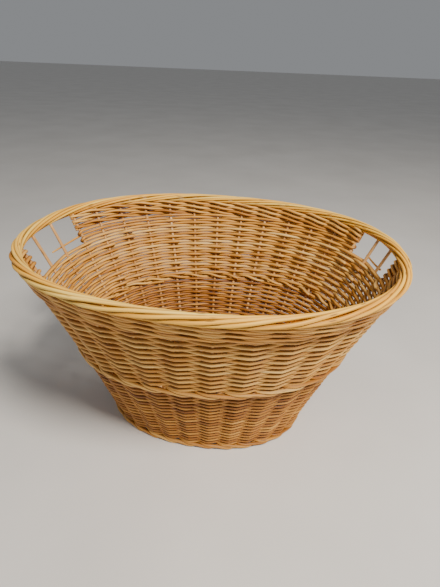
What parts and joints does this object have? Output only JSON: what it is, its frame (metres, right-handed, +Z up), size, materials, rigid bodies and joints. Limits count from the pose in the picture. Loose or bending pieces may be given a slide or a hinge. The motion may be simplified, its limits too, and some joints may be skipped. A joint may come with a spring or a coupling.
{
  "type": "oval wicker log basket",
  "caption": "Deep oval willow log basket with flaring woven sides, a rolled border and an open hand hole in each end.",
  "frame": {"origin": "on the floor, under the middle of the basket", "axes": "+X along the basket's long axis, +Y towards the back wall, +Z up"},
  "size_m": [0.6404, 0.521, 0.3434],
  "materials": {
    "stake_rods": "smooth peeled willow, satin",
    "weaving_rods": "smooth peeled willow, satin",
    "fine_rods": "smooth peeled willow, satin",
    "rim_rods": "smooth peeled willow, satin, polished by handling",
    "base_rods": "smooth peeled willow, matt"
  },
  "bodies": {
    "root": {"base_cross_stick_1": "base_rods", "base_cross_stick_2": "base_rods", "base_cross_stick_3": "base_rods", "base_cross_stick_4": "base_rods", "base_cross_stick_5": "base_rods", "base_cross_stick_6": "base_rods", "base_cross_stick_7": "base_rods", "base_long_stick_1": "base_rods", "base_long_stick_2": "base_rods", "base_long_stick_3": "base_rods", "base_weave": "base_rods", "border_strand_1": "rim_rods", "border_strand_2": "rim_rods", "border_strand_3": "rim_rods", "border_strand_4": "rim_rods", "foot_wale": "weaving_rods", "loose_weaver_left": "weaving_rods", "loose_weaver_right": "weaving_rods", "lower_weave": "fine_rods", "mid_wale": "weaving_rods", "stake_01": "stake_rods", "stake_02": "stake_rods", "stake_03": "stake_rods", "stake_04": "stake_rods", "stake_05": "stake_rods", "stake_06": "stake_rods", "stake_07": "stake_rods", "stake_08": "stake_rods", "stake_09": "stake_rods", "stake_10": "stake_rods", "stake_11": "stake_rods", "stake_12": "stake_rods", "stake_13": "stake_rods", "stake_14": "stake_rods", "stake_15": "stake_rods", "stake_16": "stake_rods", "stake_17": "stake_rods", "stake_18": "stake_rods", "stake_19": "stake_rods", "stake_20": "stake_rods", "stake_21": "stake_rods", "stake_22": "stake_rods", "stake_23": "stake_rods", "stake_24": "stake_rods", "stake_25": "stake_rods", "stake_26": "stake_rods", "stake_27": "stake_rods", "stake_28": "stake_rods", "stake_29": "stake_rods", "stake_30": "stake_rods", "stake_31": "stake_rods", "stake_32": "stake_rods", "top_wale_back": "weaving_rods", "top_wale_front": "weaving_rods", "upper_weave": "weaving_rods", "upper_weave_back": "weaving_rods", "upper_weave_front": "weaving_rods"}
  },
  "joints": []
}
